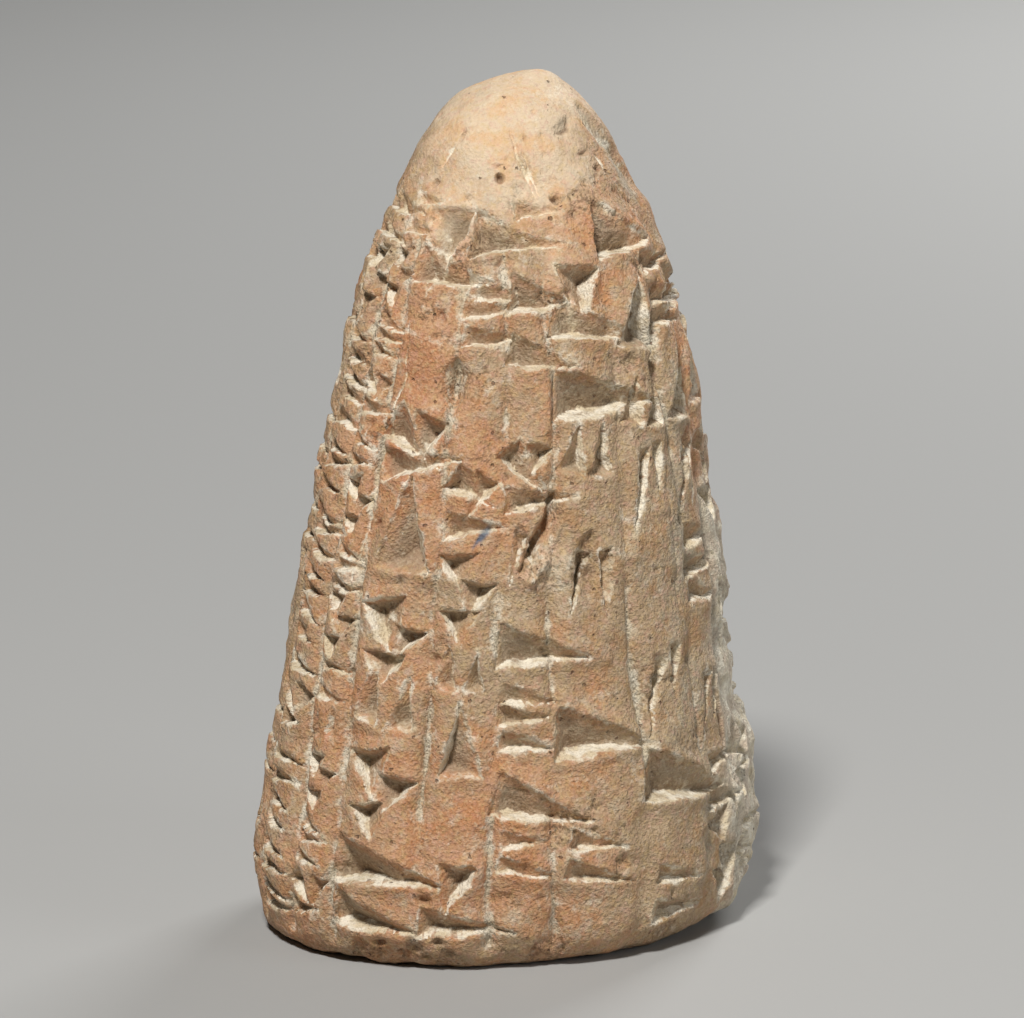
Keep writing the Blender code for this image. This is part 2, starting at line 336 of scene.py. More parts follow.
class Clay:
    """The clay's surface while it is worked: where each point lies, and what was done to it."""

    def __init__(self, angle, climb, place):
        self.angle = angle
        self.place = place
        half = np.interp(climb, CURVE_SHARES, CURVE[:, 1])
        self.height = place[:, 2]
        self.radius = plan_reach(angle, half)
        self.on_side = climb > 0
        for name in RELIEF_RECORDS + MARK_RECORDS:
            setattr(self, name, np.zeros(len(angle)))
        self.warp = [
            layered_noise(place, EDGE_WANDER_SIZE, seed, 2) * EDGE_WANDER
            + noise(place, EDGE_TREMOR_SIZE, seed + 2) * EDGE_TREMOR
            for seed in (11, 12)
        ]

    def near(self, angle_degrees, across, up, reach):
        """The points within reach of a place on the side, and where they lie as an unsteady hand
        meets them: in mm across from the upright line at that angle, and in mm up."""
        found = np.flatnonzero(np.abs(self.height - up) < reach)
        side = turned(self.angle[found], angle_degrees) * self.radius[found]
        kept = np.abs(side - across) < reach
        found = found[kept]
        return found, side[kept] + self.warp[0][found], self.height[found] + self.warp[1][found]

    def mark(self, found, mask, marks):
        """Notes how strongly each of the named marks shows at some points."""
        for name, strength in marks.items():
            record = getattr(self, name)
            record[found] = np.maximum(record[found], strength * mask)

    def press(self, angle_degrees, stroke, corners):
        """Sinks the reed's corner: three flat faces that meet at the stroke's deepest point."""
        middle = sum(corners.values()) / 3
        reach = max(np.linalg.norm(corner - middle) for corner in corners.values()) + LIP_REACH
        found, across, up = self.near(angle_degrees, middle[0], middle[1], reach)
        names = list(corners)
        a, b, c = (corners[name] for name in names)
        area = (b[0] - a[0]) * (c[1] - a[1]) - (b[1] - a[1]) * (c[0] - a[0])
        edges = ((b, c), (c, a), (a, b))
        weights = np.stack([
            ((end[0] - start[0]) * (up - start[1]) - (end[1] - start[1]) * (across - start[0]))
            / area
            for start, end in edges
        ])
        sides = [np.linalg.norm(end - start) for start, end in edges]
        inside = (weights * (abs(area) / np.array(sides))[:, None]).min(axis=0)
        shares = weights / np.array([DEEPEST_SHARES[name] for name in names])[:, None]
        least = shares.min(axis=0)
        soft = least - CREASE_FILLING * np.log(
            np.exp(-(shares - least) / CREASE_FILLING).sum(axis=0))
        soft = soft + FLOOR_HOLLOW * np.clip(soft, 0, 1) * (1 - np.clip(soft, 0, 1))
        deep = (soft + np.sqrt(soft**2 + RIM_ROUNDING**2)) / 2 - RIM_ROUNDING * 0.15
        deep = np.where(inside > -EDGE_REACH, np.clip(deep, 0, 1.1), 0) * stroke.depth
        turn = math.radians(stroke.turn)
        along = across * math.cos(turn) + up * math.sin(turn)
        beside = -across * math.sin(turn) + up * math.cos(turn)
        fibres = np.stack(
            [along / REED_FIBRE_LENGTH, beside / REED_FIBRE_WIDTH, 0 * along], axis=-1)
        deep = deep + REED_FIBRE_DEPTH * noise(fibres, 1.0, 17) * smoothstep(0.0, 0.25, deep)
        deeper = deep > self.pit[found]
        # The upward lower wall of each stroke, which gets pale powder and a painted highlight
        lower_wall = (shares.argmin(axis=0) == names.index("upper")) & (inside > 0)
        self.wall[found] = np.where(deeper, lower_wall, self.wall[found])
        self.pit[found] = np.maximum(self.pit[found], deep)
        out = np.clip(-inside, 0, None)
        pushed = np.where(inside < 0, hump(out, LIP_DISTANCE, LIP_SPREAD), 0)
        self.lip[found] = np.maximum(self.lip[found], LIP_RISE * stroke.depth * pushed)
        # The stroke's rim, which gets pale wear and a painted highlight
        self.rim[found] = np.maximum(self.rim[found], hump(inside, 0, RIM_HALF_WIDTH))

    def dent(self, angle_degrees, up, half_across, half_up, depth, turn=0.0, sharp=2.0, **marks):
        """A rounded pit, or a lump where the depth is negative."""
        reach = max(half_across, half_up) * 2.2
        found, across, height = self.near(angle_degrees, 0.0, up, reach)
        turn = math.radians(turn)
        along = across * math.cos(turn) + (height - up) * math.sin(turn)
        beside = -across * math.sin(turn) + (height - up) * math.cos(turn)
        away = np.hypot(along / half_across, beside / half_up)
        mask = np.exp(-away ** (2 * sharp))
        self.rise[found] -= depth * mask
        self.mark(found, mask, marks)

    def crumb_spot(self, angle_degrees, up, size, strength):
        """A ragged spot of bare, gritty clay."""
        found, across, height = self.near(angle_degrees, 0.0, up, size * 2.5)
        ragged = 1 + 0.8 * noise(self.place[found], 0.9, 63)
        mask = smoothstep(1.5, 0.6, np.hypot(across, height - up) / size * ragged)
        self.rise[found] -= 0.16 * strength * mask
        self.rough[found] = np.maximum(self.rough[found], strength * mask)

    def along(self, points, reach):
        """How far in mm each point lies from a path of (degrees, mm up), and how far along it."""
        best = np.full(len(self.angle), 1e3)
        along = np.zeros(len(self.angle))
        for number, ((start, low), (end, high)) in enumerate(zip(points, points[1:])):
            middle = (start + end) / 2
            rise = np.abs(self.height - (low + high) / 2)
            found = np.flatnonzero(rise < reach + abs(high - low) / 2)
            radius = self.radius[found]
            side = turned(self.angle[found], middle) * radius
            half_turn = math.radians(end - start) / 2 * np.median(radius)
            kept = np.abs(side) < reach + abs(half_turn)
            found = found[kept]
            from_start = np.stack([
                side[kept] + half_turn + self.warp[0][found],
                self.height[found] + self.warp[1][found] - low,
            ], axis=-1)
            step = np.array([2 * half_turn, high - low])
            share = np.clip(from_start @ step / (step @ step), 0, 1)
            away = np.linalg.norm(from_start - share[:, None] * step, axis=-1)
            nearer = away < best[found]
            best[found[nearer]] = away[nearer]
            along[found[nearer]] = (number + share[nearer]) / (len(points) - 1)
        return best, along

    def trail(self, points, half_width, depth, sharp=1.5, **marks):
        """A groove, or a ridge where the depth is negative, which narrows to its ends."""
        away, along = self.along(points, half_width * 3)
        swollen = 0.25 + 0.75 * np.sin(math.pi * np.clip(along, 0, 1)) ** 0.6
        uneven = 1 + 0.35 * noise(self.place, 1.2, 62)
        mask = np.exp(-(away / (half_width * swollen * uneven)) ** (2 * sharp)) * swollen
        self.rise -= depth * mask
        self.mark(slice(None), mask, marks)

    def facet(self, angle_degrees, up, lean, depth, spread, **marks):
        """A flake knocked off: a flat that cuts this deep, leaning from upright by some degrees."""
        turn = math.radians(angle_degrees)
        lean = math.radians(lean)
        outward = np.array([
            math.sin(turn) * math.cos(lean), -math.cos(turn) * math.cos(lean), math.sin(lean)])
        found = np.flatnonzero(np.abs(self.height - up) < spread)
        side = turned(self.angle[found], angle_degrees) * self.radius[found]
        found = found[np.abs(side) < spread]
        stand = self.place[found] @ outward
        level = stand.max() - depth
        over = np.clip(stand - level + 0.12 * layered_noise(self.place[found], 1.4, 61, 2), 0, None)
        self.rise[found] -= over
        self.mark(found, smoothstep(0.0, 0.08, over), marks)


def varied(stroke, size, chance):
    """The same stroke as an unsteady hand would press it, at a share of its size."""
    return stroke._replace(
        length=size * stroke.length * (1 + chance.uniform(-LENGTH_VARIES, LENGTH_VARIES)),
        head=size * stroke.head,
        depth=size * stroke.depth,
        turn=stroke.turn + chance.uniform(-TURN_VARIES, TURN_VARIES),
        up=stroke.up + chance.uniform(-PLACE_VARIES, PLACE_VARIES),
    )


def stroke_corners(stroke, width, height):
    """The corners of a stroke in mm across and up its line: upper head, lower head and tail."""
    turn = math.radians(stroke.turn)
    ahead = np.array([math.cos(turn), math.sin(turn)])
    beside = np.array([-math.sin(turn), math.cos(turn)])
    if beside[1] < 0:
        beside = -beside
    length = stroke.length
    if abs(ahead[0]) > abs(ahead[1]):
        length = min(length, LONGEST_SHARE * width)
    head = np.array([stroke.across * width, height])
    half_head = beside * stroke.head / 2
    return {"upper": head + half_head, "lower": head - half_head, "tail": head + ahead * length}


def climb_at(height):
    return float(np.interp(height / HEIGHT_MM, CURVE[:, 0], CURVE_SHARES))


def press_inscription(clay):
    """Every stroke on the cone, line by line from the foot up."""
    chance = random.Random(SEED)
    edges = [line[0] for line in LINES] + [LINES[0][0] + 360.0]
    for (left, names), right in zip(LINES, edges[1:]):
        middle = (left + right) / 2
        groups = [GROUPS[name] for name in names.split()]
        stretch = (INSCRIPTION_TOP - INSCRIPTION_FOOT) / sum(height for height, _ in groups)
        size = min(1.0, (right - left) / WIDE_LINE)
        foot = INSCRIPTION_FOOT
        for tall, strokes in groups:
            for stroke in strokes:
                stroke = varied(stroke, size, chance)
                height = foot + stroke.up * stretch
                half = np.interp(climb_at(height), CURVE_SHARES, CURVE[:, 1])
                width = plan_reach(math.radians(middle), half) * math.radians(right - left)
                clay.press(middle, stroke, stroke_corners(stroke, width, height))
            foot += tall * stretch


def rule_lines(clay):
    """The upright rulings, worn away in places, each in the shallow valley that it left."""
    wander = layered_noise(clay.place * (1, 1, 0.6), 5.0, 21, 2) * RULE_WANDER
    worn = smoothstep(-0.35, 0.40, layered_noise(clay.place * (1, 1, 0.7), 5.5, 22, 2))
    within = smoothstep(0.8, 2.2, clay.height) * (1 - smoothstep(50.0, 54.0, clay.height))
    valley = layered_noise(clay.place * (1, 1, 0.5), 8.0, 23, 2)
    ragged = 1 + 0.6 * layered_noise(clay.place, 1.6, 24, 2)
    unpressed = 1 - 0.85 * smoothstep(0.08, 0.35, clay.pit)
    for left, _ in LINES:
        away = turned(clay.angle, left) * clay.radius + wander
        clay.rise -= VALLEY_DEPTH * (1 + valley) * hump(away, 0, VALLEY_HALF_WIDTH) * within
        line = np.exp(-(np.abs(away) / (RULE_HALF_WIDTH * ragged)) ** 2) * worn * within * unpressed
        clay.rise -= RULE_DEPTH * line
        clay.mark(slice(None), line, {"crust": 0.75, "grit": 1.0})


def hand_shape(clay):
    """The soft unevenness that the hand and the pressed reed leave between the strokes."""
    clay.rise += 0.34 * layered_noise(clay.place, 6.5, 41, 2)
    clay.rise += 0.20 * noise(clay.place, 2.6, 42)
    clay.rise += 0.05 * noise(clay.place, 1.1, 43)
    clay.rise += 0.05 * layered_noise(clay.place, 0.6, 44, 2)


VOID_COUNT = 260
CRUMB_COUNT = 120


def pock(clay):
    """Small voids where grit and straw fell out."""
    chance = random.Random(SEED + 1)
    for _ in range(VOID_COUNT):
        size = 0.10 + 0.22 * chance.random() ** 2.5
        # Larger voids are painted darker, a painted shade in the hole
        clay.dent(
            chance.uniform(-180, 180), HEIGHT_MM * chance.uniform(0.01, 0.97),
            size * chance.uniform(1.0, 1.9), size, size * chance.uniform(0.8, 1.6),
            turn=chance.uniform(0, 180), sharp=1.4, stain=0.6 * min(1.0, size / 0.25),
        )


def crumble(clay):
    """Spots where the skin has crumbled away, at random places and at four given ones."""
    chance = random.Random(SEED + 2)
    for _ in range(CRUMB_COUNT):
        angle, up = chance.uniform(-180, 180), HEIGHT_MM * chance.uniform(0.02, 0.93)
        size = chance.uniform(0.35, 1.1)
        clay.crumb_spot(angle, up, size, chance.uniform(0.4, 1.0))
    for angle, up, size in ((-21, 51.2, 1.3), (-30, 46.5, 0.9), (16, 47.0, 1.0), (60, 49.0, 1.0)):
        clay.crumb_spot(angle, up, size, 1.0)


# Flakes off the foot's rim: degrees, mm up, lean in degrees, depth and spread in mm
FOOT_FACETS = (
    (-31.0, 0.9, -34.0, 0.34, 1.4),
    (-19.0, 1.6, -30.0, 0.30, 1.2),
    (-10.0, 0.6, -40.0, 0.26, 1.3),
    (13.0, 0.8, -40.0, 0.28, 1.3),
    (47.0, 1.0, -38.0, 0.26, 1.2),
    (160.0, 0.8, -36.0, 0.40, 2.0),
)

# Holes above the foot's rim: degrees, mm up and size in mm
FOOT_DENTS = ((-29.0, 2.0, 0.30), (-24.0, 1.2, 0.24), (-15.0, 2.3, 0.26), (-17.0, 1.0, 0.20))

# Pits of the tip: degrees, mm up, half width, half height and depth in mm, and how dark each is
# painted, a painted shade in the pit
TIP_PITS = (
    (-9.5, 55.6, 0.34, 0.30, 0.60, 1.3),
    (-10.5, 56.3, 0.30, 0.20, 0.25, 0.3),
    (-45.8, 55.1, 0.30, 0.30, 0.40, 1.0),
    (56.0, 55.9, 0.26, 0.22, 0.35, 1.2),
    (48.0, 57.0, 0.45, 0.20, 0.25, 0.4),
    (22.0, 54.0, 0.34, 0.26, 0.40, 0.9),
)

# Lines on the front, through points in degrees and mm up
TIP_SCRATCHES = (
    ((-4.5, 58.6), (0.0, 57.2), (7.0, 55.8), (12.0, 54.0)),
    ((4.0, 57.4), (9.0, 56.0), (13.5, 54.3)),
    ((-40.0, 57.6), (-46.0, 56.2)),
    ((58.0, 57.0), (66.0, 55.0)),
    ((61.0, 55.8), (74.0, 53.8)),
)
LEFT_CRACK = (
    (-39.0, 46.0), (-36.5, 42.0), (-39.5, 39.0), (-42.0, 35.4), (-43.0, 31.8), (-46.2, 26.0),
)


def wear(clay):
    """The breaks, cracks, folds and scratches that the front shows, each in its place."""
    clay.rise += 0.25 * hump(turned(clay.angle, 90.0), 0, 0.30) * hump(clay.height, 52.6, 1.0)
    clay.trail(((66.0, 60.0), (76.0, 58.4), (88.0, 56.2), (104.0, 53.2)), 0.95, 0.50, sharp=3.0,
               broken=1.0, crust=0.60)
    for facet in FOOT_FACETS:
        clay.facet(*facet, rough=0.7, stain=0.35)
    for angle, up, size in FOOT_DENTS:
        # Each hole is painted dark, a painted shade in it
        clay.dent(angle, up, 1.4 * size, size, 1.6 * size, turn=20, sharp=1.3, stain=1.0)
    clay.dent(38.0, 59.15, 0.98, 0.56, 0.18, turn=24, sharp=1.6, broken=1.0)
    clay.dent(37.0, 59.35, 0.66, 0.32, -0.32, turn=24, sharp=1.4, crust=0.25)
    # A painted shadow: a thin crease along the pebble's lower edge, painted dark
    clay.trail(((30.0, 58.6), (36.0, 58.5), (41.0, 58.75), (45.0, 59.3)), 0.12, 0.22, stain=1.2)
    for *pit, stain in TIP_PITS:
        clay.dent(*pit, stain=stain)
    for points in TIP_SCRATCHES:
        clay.trail(points, 0.15, 0.24, crust=0.75)
    clay.trail(((-20.8, 43.4), (-19.2, 40.0)), 0.75, 0.85, rough=1.0, crust=0.5, grit=1.0)
    clay.trail(((68.8, 47.7), (60.0, 43.0), (55.2, 39.8)), 0.55, 0.80,
               rough=0.8, crust=0.9, grit=1.0)
    clay.trail(((24.8, 31.3), (23.0, 29.0), (24.0, 26.4)), 0.85, 0.70, rough=1.0, stain=0.5)
    clay.trail(((14.0, 34.0), (9.5, 31.5), (3.0, 28.4)), 0.42, 1.10, stain=0.4)
    clay.trail(((16.0, 32.0), (11.5, 29.6), (5.0, 27.4)), 0.35, -0.35)
    clay.trail(LEFT_CRACK, 0.13, 0.34, sharp=1.0, crust=1.0)
    clay.trail(((0.5, 28.0), (10.0, 28.8), (21.0, 28.2)), 1.40, -0.30,
               rough=0.9, crust=0.35, grit=0.4)
    clay.trail(((60.0, 38.0), (56.0, 33.0), (57.0, 27.0), (59.0, 20.0)), 0.10, 0.12, sharp=1.0)
    clay.trail(((72.0, 21.0), (76.0, 12.0), (78.0, 6.0)), 0.28, 0.55, stain=0.5)
    clay.trail(((-11.6, 30.3), (-6.2, 31.9)), 0.20, 0.08, fleck=1.0)
    # Rougher and darker towards the foot's edge
    ragged = clay.height + 1.2 * noise(clay.place, 2.2, 64)
    darker_near_foot = smoothstep(1.6, 0.2, ragged) * clay.on_side
    clay.mark(slice(None), darker_near_foot, {"rough": 0.35, "stain": 0.35})


def encrust_back(clay):
    """The weathered strip behind the right-hand ridge: lumps, slanting streaks and pale crust."""
    edge = 7.0 * layered_noise(clay.place, 5.0, 71)
    turn = turned(clay.angle, BACK_SWELLING.angle)
    zone = smoothstep(34.0, 24.0, np.abs(np.degrees(turn) + edge))
    zone = zone * smoothstep(40.0, 24.0, clay.height + edge)
    slanting = np.stack([
        (turn * clay.radius + 0.6 * clay.height) / 0.9,
        (clay.height - 0.6 * turn * clay.radius) / 5.0,
        0 * clay.height,
    ], axis=-1)
    lumps = 0.30 * layered_noise(clay.place, 3.0, 72, 2)
    streaks = 0.16 * noise(slanting, 1.0, 73)
    clay.rise += zone * (lumps + streaks)
    clay.mark(slice(None), zone, {"rough": 0.14, "crust": 0.35, "bleached": 1.0})


# Patches of tone: the middle in degrees and mm up, the spread in degrees and mm, and the strength
Patch = namedtuple("Patch", "angle height turn_spread climb_spread strength")
WARM_PATCHES = (
    Patch(-32, 40, 13, 10, 0.75), Patch(-12, 34, 12, 5, 0.45), Patch(10, 40, 12, 8, 0.30),
    Patch(-25, 14, 22, 12, 0.35), Patch(8, 7, 20, 6, 0.35), Patch(22, 19, 14, 5, 0.30),
    Patch(-55, 30, 12, 16, 0.20), Patch(40, 52, 25, 5, 0.30), Patch(-40, 51, 14, 4, 0.25),
    Patch(150, 35, 26, 14, 0.45), Patch(205, 12, 30, 12, 0.45), Patch(250, 36, 26, 14, 0.40),
    Patch(38, 27, 26, 13, -0.55), Patch(55, 10, 20, 12, -0.50), Patch(-5, 24, 12, 7, -0.35),
    Patch(-70, 45, 20, 12, -0.30), Patch(180, 22, 26, 9, -0.40),
)
CREAM_PATCHES = (
    Patch(0, 62, 200, 6.5, 1.0), Patch(13, 56, 28, 4.2, 0.65), Patch(-33, 53.5, 24, 3.8, 0.65),
    Patch(14, 49, 18, 2.6, 0.35), Patch(200, 50, 60, 5, 0.35), Patch(12, 28.6, 12, 2.6, 0.6),
)
GREY_PATCHES = (
    Patch(58, 24, 20, 14, 0.45), Patch(66, 40, 12, 10, 0.40), Patch(30, 34, 16, 8, 0.20),
    Patch(84, 56, 12, 3, 0.9), Patch(60, 8, 16, 6, 0.35), Patch(-60, 40, 14, 14, 0.25),
    Patch(165, 8, 24, 6, 0.3), Patch(230, 25, 20, 9, 0.25),
)


def patchwork(clay, patches):
    """The sum of soft-edged patches at each point."""
    total = np.zeros(len(clay.angle))
    for patch in patches:
        turn = np.degrees(turned(clay.angle, patch.angle))
        total += patch.strength * hump(turn, 0, patch.turn_spread) * hump(
            clay.height, patch.height, patch.climb_spread)
    return total


def fire(clay):
    """Where the kiln and the ground left the skin orange, cream or grey."""
    clay.warm = 0.42 + patchwork(clay, WARM_PATCHES) + 0.42 * layered_noise(clay.place, 7.0, 81)
    clay.cream = patchwork(clay, CREAM_PATCHES) + 0.22 * layered_noise(clay.place, 5.0, 82)
    clay.grey = patchwork(clay, GREY_PATCHES) + 0.25 * layered_noise(clay.place, 6.0, 83)


def work_clay(clay):
    press_inscription(clay)
    rule_lines(clay)
    hand_shape(clay)
    pock(clay)
    crumble(clay)
    wear(clay)
    encrust_back(clay)
    fire(clay)


def rolled_sheet():
    """A sheet rolled into the cone's smooth shape, with each point's angle, climb and place."""
    bm = bmesh.new()
    rings = BASE_RINGS + SIDE_RINGS
    bmesh.ops.create_grid(bm, x_segments=ROUND_SEGMENTS, y_segments=rings, size=1.0)
    tiny = 0.1 / ROUND_SEGMENTS
    left = sorted((v for v in bm.verts if v.co.x < tiny - 1), key=lambda v: v.co.y)
    right = sorted((v for v in bm.verts if v.co.x > 1 - tiny), key=lambda v: v.co.y)
    bmesh.ops.weld_verts(bm, targetmap=dict(zip(right, left)))
    for end in (-1, 1):
        ring = [v for v in bm.verts if abs(v.co.y - end) < tiny]
        bmesh.ops.weld_verts(bm, targetmap={v: ring[0] for v in ring[1:]})
    mesh = bpy.data.meshes.new("fired_clay_cone")
    bm.to_mesh(mesh)
    bm.free()
    flat = np.empty(len(mesh.vertices) * 3)
    mesh.vertices.foreach_get("co", flat)
    share = (flat.reshape(-1, 3)[:, :2] + 1) / 2
    angle = share[:, 0] * 2 * math.pi
    climb = share[:, 1] * (1 + BASE_RINGS / SIDE_RINGS) - BASE_RINGS / SIDE_RINGS
    outwards = np.clip(1 + climb * SIDE_RINGS / BASE_RINGS, 0, 1)[:, None]
    held = np.clip(climb, 0, 1)
    side = side_point(angle, held)
    place = np.where(climb[:, None] < 0, MIDDLE + (side - MIDDLE) * outwards, side)
    return mesh, angle, held, place - MIDDLE


def set_places(mesh, places):
    mesh.vertices.foreach_set("co", (places * MM).astype(np.float32).ravel())
    mesh.update()


def outward(mesh):
    normals = np.empty(len(mesh.vertices) * 3, np.float32)
    mesh.vertex_normals.foreach_get("vector", normals)
    return normals.reshape(-1, 3).astype(float)


def thin_out(mesh, most_triangles):
    """The same surface with fewer triangles where it is smooth."""
    thing = bpy.data.objects.new("thinning", mesh)
    bpy.context.scene.collection.objects.link(thing)
    thinner = thing.modifiers.new("thinner", "DECIMATE")
    thinner.ratio = most_triangles / sum(len(p.vertices) - 2 for p in mesh.polygons)
    thinner.use_collapse_triangulate = True
    seen = thing.evaluated_get(bpy.context.evaluated_depsgraph_get())
    thin = bpy.data.meshes.new_from_object(seen)
    bpy.data.objects.remove(thing)
    return thin


def set_attribute(mesh, name, values):
    layer = mesh.attributes.new(name, "FLOAT", "POINT")
    layer.data.foreach_set("value", np.clip(values, -4, 4).astype(np.float32))


def nearest_points(mesh, places):
    """For each point of the mesh, the number of the nearest of the places."""
    tree = kdtree.KDTree(len(places))
    for number, place in enumerate(places):
        tree.insert(place, number)
    tree.balance()
    return np.array([tree.find(v.co)[1] for v in mesh.vertices])


def model_cone():
    """The finished cone: worked as a fine sheet, then thinned, with its records carried over."""
    mesh, angle, climb, place = rolled_sheet()
    set_places(mesh, place)
    normals = outward(mesh)
    clay = Clay(angle, climb, place)
    work_clay(clay)
    raised = clay.rise + clay.lip * (1 - smoothstep(0.02, 0.15, clay.pit)) - clay.pit
    raised += clay.rough * 0.34 * layered_noise(place, 0.8, 51, 3)
    done = place + normals * (raised * clay.on_side)[:, None]
    done[:, 2] = np.maximum(done[:, 2], 0)
    set_places(mesh, done)
    thin = thin_out(mesh, MOST_TRIANGLES)
    source = nearest_points(thin, done * MM)
    for name in ("pit", *MARK_RECORDS, *FIRED_RECORDS):
        set_attribute(thin, name, getattr(clay, name)[source])
    thin.shade_smooth()
    cone = bpy.data.objects.new("fired_clay_cone", thin)
    bpy.context.scene.collection.objects.link(cone)
    return cone


def paint(red, green, blue):
    """A shader's colour from the 0 to 255 values of a paint chart."""
    linear = []
    for part in (red, green, blue):
        part = part / 255
        linear.append(part / 12.92 if part <= 0.04045 else ((part + 0.055) / 1.055) ** 2.4)
    return (*linear, 1.0)


def add_node(tree, kind, inputs, **settings):
    """A node with its settings made, and its inputs set to values or joined to sockets."""
    node = tree.nodes.new("ShaderNode" + kind)
    for name, value in settings.items():
        setattr(node, name, value)
    for name, value in inputs.items():
        if isinstance(value, bpy.types.NodeSocket):
            tree.links.new(value, node.inputs[name])
        else:
            node.inputs[name].default_value = value
    return node


def math_node(tree, operation, first, second=0.0):
    return add_node(tree, "Math", {0: first, 1: second}, operation=operation).outputs[0]


def times(tree, first, second):
    return math_node(tree, "MULTIPLY", first, second)


def plus(tree, first, second):
    return math_node(tree, "ADD", first, second)


def ramp(tree, value, low, high, bottom=0.0, top=1.0):
    """The value eased from one range to another, and held at its ends."""
    return add_node(tree, "MapRange", {
        "Value": value, "From Min": low, "From Max": high, "To Min": bottom, "To Max": top,
    }, interpolation_type="SMOOTHSTEP").outputs[0]


def blend(tree, share, under, over, mode="MIX"):
    """One colour laid over another by a share; a Mix node's colours are its inputs 6 and 7."""
    mixed = add_node(
        tree, "Mix", {0: share, 6: under, 7: over}, data_type="RGBA", blend_type=mode)
    return mixed.outputs[2]


def mottle(tree, place, size, shift, detail=3.0, roughness=0.6):
    """Cloudy noise with features of a size in mm; the shift sets it apart from other noise."""
    offset = (shift, shift * 0.7, -shift)
    moved = add_node(tree, "VectorMath", {0: place, 1: offset}, operation="ADD")
    return add_node(tree, "TexNoise", {
        "Vector": moved.outputs[0], "Scale": 1 / size, "Detail": detail, "Roughness": roughness,
    }).outputs[0]


def new_group(name, inputs, outputs):
    """An empty node group with named sockets, and its input and output nodes."""
    group = bpy.data.node_groups.new(name, "ShaderNodeTree")
    kinds = {"value": "NodeSocketFloat", "colour": "NodeSocketColor", "vector": "NodeSocketVector"}
    for label, kind in inputs.items():
        group.interface.new_socket(label, in_out="INPUT", socket_type=kinds[kind])
    for label, kind in outputs.items():
        group.interface.new_socket(label, in_out="OUTPUT", socket_type=kinds[kind])
    given = group.nodes.new("NodeGroupInput").outputs
    out = group.nodes.new("NodeGroupOutput").inputs
    return group, given, out


def fired_skin_group():
    """The skin's colour: orange to tan by the heat, cream and grey where it weathered."""
    group, given, out = new_group(
        "fired_skin", {"Place": "vector", "Warm": "value", "Cream": "value", "Grey": "value"},
        {"Color": "colour"})
    place = given["Place"]
    broad = mottle(group, place, 4.5, 3.1)
    fine = mottle(group, place, 1.1, 9.7, 4.0)

    colour = paint(180, 154, 122)
    for label, low, high, sway, heated in (
        ("Warm", 0.15, 0.75, 0.20, paint(194, 148, 110)),
        ("Warm", 0.80, 1.35, 0.22, paint(189, 134, 94)),
        ("Cream", 0.25, 0.95, 0.16, paint(219, 196, 166)),
        ("Grey", 0.25, 0.85, 0.22, paint(172, 158, 134)),
    ):
        swayed = plus(group, given[label], ramp(group, broad, 0.3, 0.7, -sway, sway))
        swayed = plus(group, swayed, ramp(group, fine, 0.3, 0.7, -sway, sway))
        colour = blend(group, ramp(group, swayed, low, high), colour, heated)
    blush = ramp(group, mottle(group, place, 2.6, 15.3, 5.0, 0.7), 0.46, 0.64, 0.0, 0.60)
    colour = blend(group, blush, colour, paint(255, 222, 184), "MULTIPLY")
    bloom = ramp(group, mottle(group, place, 1.9, 33.7, 5.0, 0.7), 0.52, 0.68, 0.0, 0.55)
    colour = blend(group, bloom, colour, paint(204, 190, 166))
    tints = mottle(group, place, 0.55, 57.1, 3.0, 0.7)
    colour = blend(group, ramp(group, tints, 0.52, 0.66, 0.0, 0.34), colour, paint(206, 176, 118))
    colour = blend(group, ramp(group, tints, 0.48, 0.34, 0.0, 0.30), colour, paint(208, 156, 140))
    group.links.new(colour, out["Color"])
    return group


def sand_group():
    """The sandy grain: a light and dark speckle, and the height of its grains and tiny holes."""
    group, given, out = new_group(
        "clay_sand", {"Place": "vector"}, {"Tone": "value", "Height": "value", "Holes": "value"})
    place = given["Place"]
    grains = mottle(group, place, 0.27, 21.3, 2.0, 0.60)
    speckle = mottle(group, place, 0.16, 27.9, 1.0, 0.6)
    ragged = add_node(group, "TexNoise", {"Vector": place, "Scale": 4.5, "Detail": 2.0})
    shifted = add_node(group, "VectorMath", {
        0: ragged.outputs["Color"], 1: (0.32, 0.32, 0.32),
    }, operation="MULTIPLY").outputs[0]
    bent = add_node(group, "VectorMath", {0: place, 1: shifted}, operation="ADD").outputs[0]
    cells = add_node(group, "TexVoronoi", {"Vector": bent, "Scale": 1.25, "Randomness": 1.0})
    rare = add_node(group, "SeparateColor", {"Color": cells.outputs["Color"]}).outputs[0]
    size = ramp(group, rare, 0.62, 1.0, 0.0, 0.20)
    near = math_node(group, "SUBTRACT", size, cells.outputs["Distance"])
    holes = ramp(group, near, 0.0, 0.07)
    small = add_node(group, "TexVoronoi", {"Vector": place, "Scale": 2.6, "Randomness": 1.0})
    chosen = add_node(group, "SeparateColor", {"Color": small.outputs["Color"]}).outputs[1]
    wide = ramp(group, chosen, 0.45, 1.0, 0.0, 0.34)
    pits = ramp(group, math_node(group, "SUBTRACT", wide, small.outputs["Distance"]), 0.0, 0.20)
    tone = plus(
        group, ramp(group, grains, 0.3, 0.7, -0.5, 0.5), ramp(group, speckle, 0.3, 0.7, -0.5, 0.5))
    pitted = math_node(group, "SUBTRACT", grains, times(group, pits, 0.22))
    height = math_node(group, "SUBTRACT", pitted, times(group, holes, 1.6))
    group.links.new(tone, out["Tone"])
    group.links.new(height, out["Height"])
    group.links.new(holes, out["Holes"])
    return group


